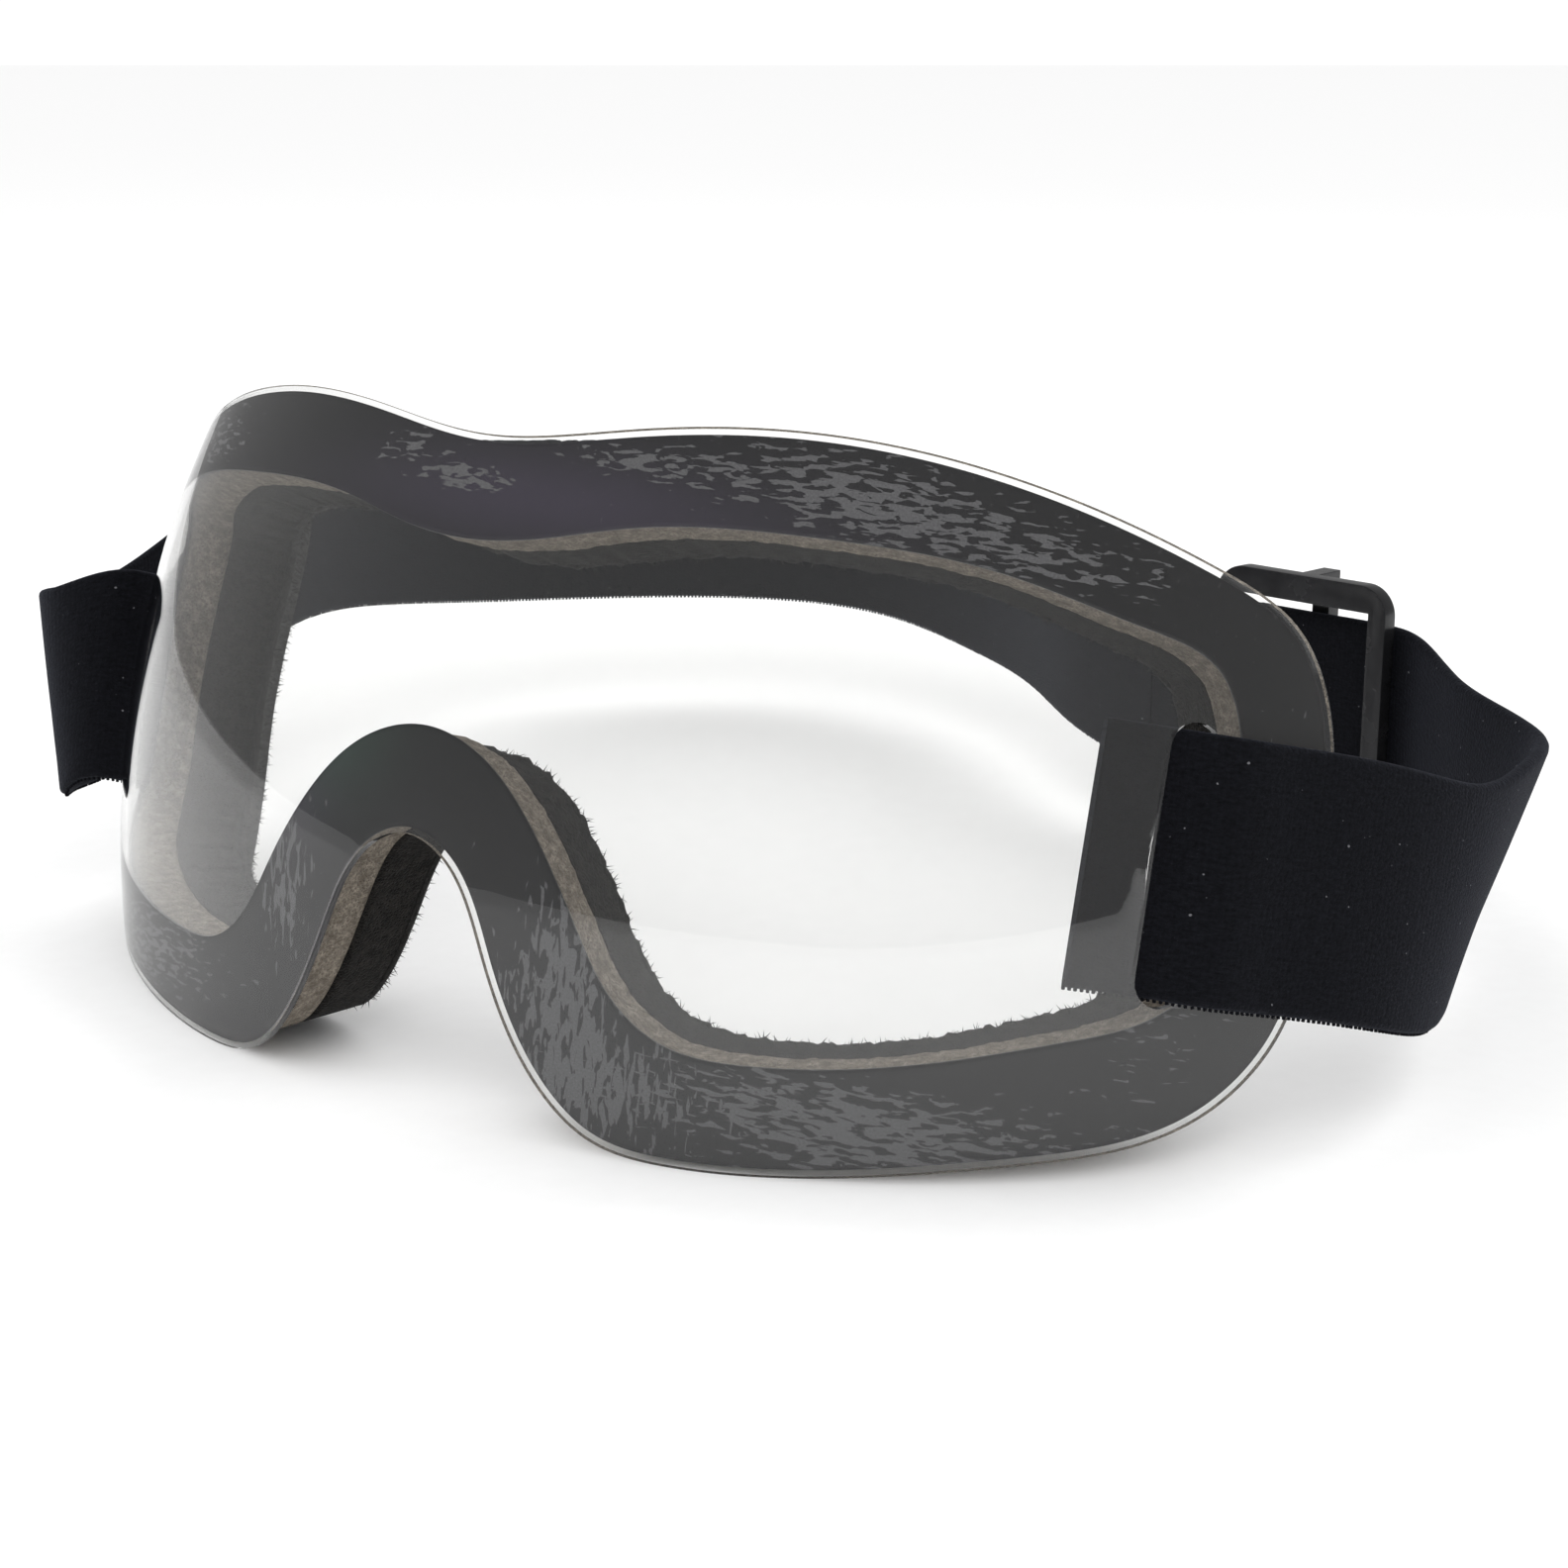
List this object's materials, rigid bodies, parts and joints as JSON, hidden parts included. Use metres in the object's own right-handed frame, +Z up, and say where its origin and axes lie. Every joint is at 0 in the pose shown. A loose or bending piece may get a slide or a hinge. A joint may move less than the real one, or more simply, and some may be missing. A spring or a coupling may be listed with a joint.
{
  "type": "motorcycle goggles",
  "caption": "Frameless wraparound goggles: clear curved lens, foam face seal glued behind it, elastic head strap with a slider.",
  "frame": {"origin": "on the plane the goggles stand on, under the middle of the nose notch at the lens front", "axes": "+Z up, the lens front faces -Y, the wearer's head is towards +Y, +X is the side of the strap slider"},
  "size_m": [0.2267, 0.2021, 0.0807],
  "materials": {
    "clear_lens": "gloss",
    "adhesive": "satin",
    "taupe_foam": "matte",
    "black_foam": "matte",
    "fleece": "matte",
    "strap_webbing": "matte",
    "slider_plastic": "gloss"
  },
  "bodies": {
    "goggles": {"lens": "clear_lens", "adhesive_film": "adhesive", "foam_front": "taupe_foam", "foam_rear": "black_foam", "face_lining": "fleece", "strap_anchor_right": "strap_webbing", "strap_anchor_left": "strap_webbing"},
    "strap_right": {"strap_right": "strap_webbing"},
    "slider": {"slider_frame": "slider_plastic"},
    "strap_left": {"strap_left": "strap_webbing"}
  },
  "joints": [
    {"name": "strap_right_swing", "type": "hinge", "parent": "goggles", "child": "strap_right", "pos_m": [0.08396, 0.03417, 0.03438], "axis": [0, -0.2756, -0.9613], "range_deg": [0, 25]},
    {"name": "strap_left_swing", "type": "hinge", "parent": "goggles", "child": "strap_left", "pos_m": [-0.08396, 0.03417, 0.03438], "axis": [0, 0.2756, 0.9613], "range_deg": [0, 25]},
    {"name": "slider_slide", "type": "slide", "parent": "strap_right", "child": "slider", "axis": [-0.9781, 0.2079, 0], "range_m": [0, 0.006]}
  ]
}
